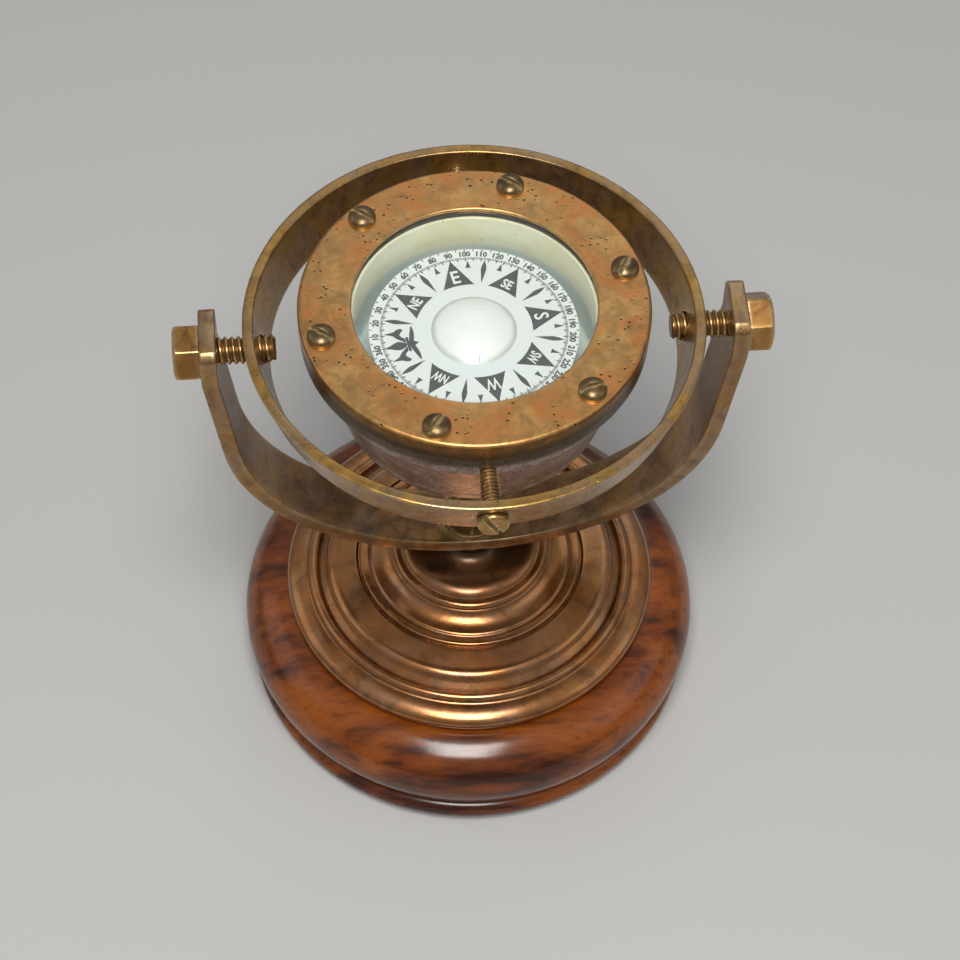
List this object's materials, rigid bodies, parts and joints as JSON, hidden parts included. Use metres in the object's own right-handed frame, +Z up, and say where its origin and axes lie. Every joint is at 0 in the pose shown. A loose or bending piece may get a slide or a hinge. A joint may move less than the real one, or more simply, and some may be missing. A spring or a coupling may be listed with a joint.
{
  "type": "gimbal compass",
  "caption": "Compass bowl with a floating card, hung in a gimbal ring between the arms of a strap yoke on a turned brass and wood base.",
  "frame": {"origin": "centre of the underside, on the surface that the object stands on", "axes": "+Z up; X along the two hexagon pivot bolts; -Y towards the front pivot screw, the side seen in the picture"},
  "size_m": [0.1272, 0.1088, 0.1333],
  "materials": {
    "felt": "matt woven felt",
    "wood": "lacquered red-brown hardwood",
    "brass_cast": "aged, worn bright on edges",
    "brass_dark": "aged, dark",
    "steel": "bright turned",
    "magnet": "dark hardened",
    "lead": "dull grey cast weight",
    "cream_paint": "cream enamel",
    "gasket": "matt",
    "glass": "clear",
    "card": "white printed card",
    "float": "milky white",
    "jewel": "polished"
  },
  "bodies": {
    "stand": {"felt_pad": "felt", "wood_base": "wood", "base_flange": "brass_cast", "pedestal": "brass_cast", "base_washer": "brass_dark", "centre_bolt": "brass_dark", "yoke": "brass_cast", "yoke_washer": "brass_dark", "yoke_nut": "brass_dark", "pivot_bolt_left": "brass_cast", "pivot_bolt_right": "brass_cast"},
    "ring": {"gimbal_ring": "brass_cast"},
    "bowl": {"bowl": "brass_dark", "liner": "cream_paint", "ballast": "lead", "pivot_post": "steel", "gasket": "gasket", "glass": "glass", "bezel": "brass_cast", "bezel_screws": "brass_dark", "bowl_pivot_screw_front": "brass_dark", "bowl_pivot_screw_rear": "brass_dark"},
    "card": {"compass_card": "card", "float": "float", "magnets": "magnet", "jewel_cup": "jewel"}
  },
  "joints": [
    {"name": "ring_swing", "type": "hinge", "parent": "stand", "child": "ring", "pos_m": [0, 0, 0.1196], "axis": [1, 0, 0], "continuous": true},
    {"name": "bowl_swing", "type": "hinge", "parent": "ring", "child": "bowl", "pos_m": [0, 0, 0.1208], "axis": [0, 1, 0], "continuous": true},
    {"name": "card_turn", "type": "hinge", "parent": "bowl", "child": "card", "pos_m": [0, 0, 0.1208], "axis": [0, 0, 1], "continuous": true}
  ]
}
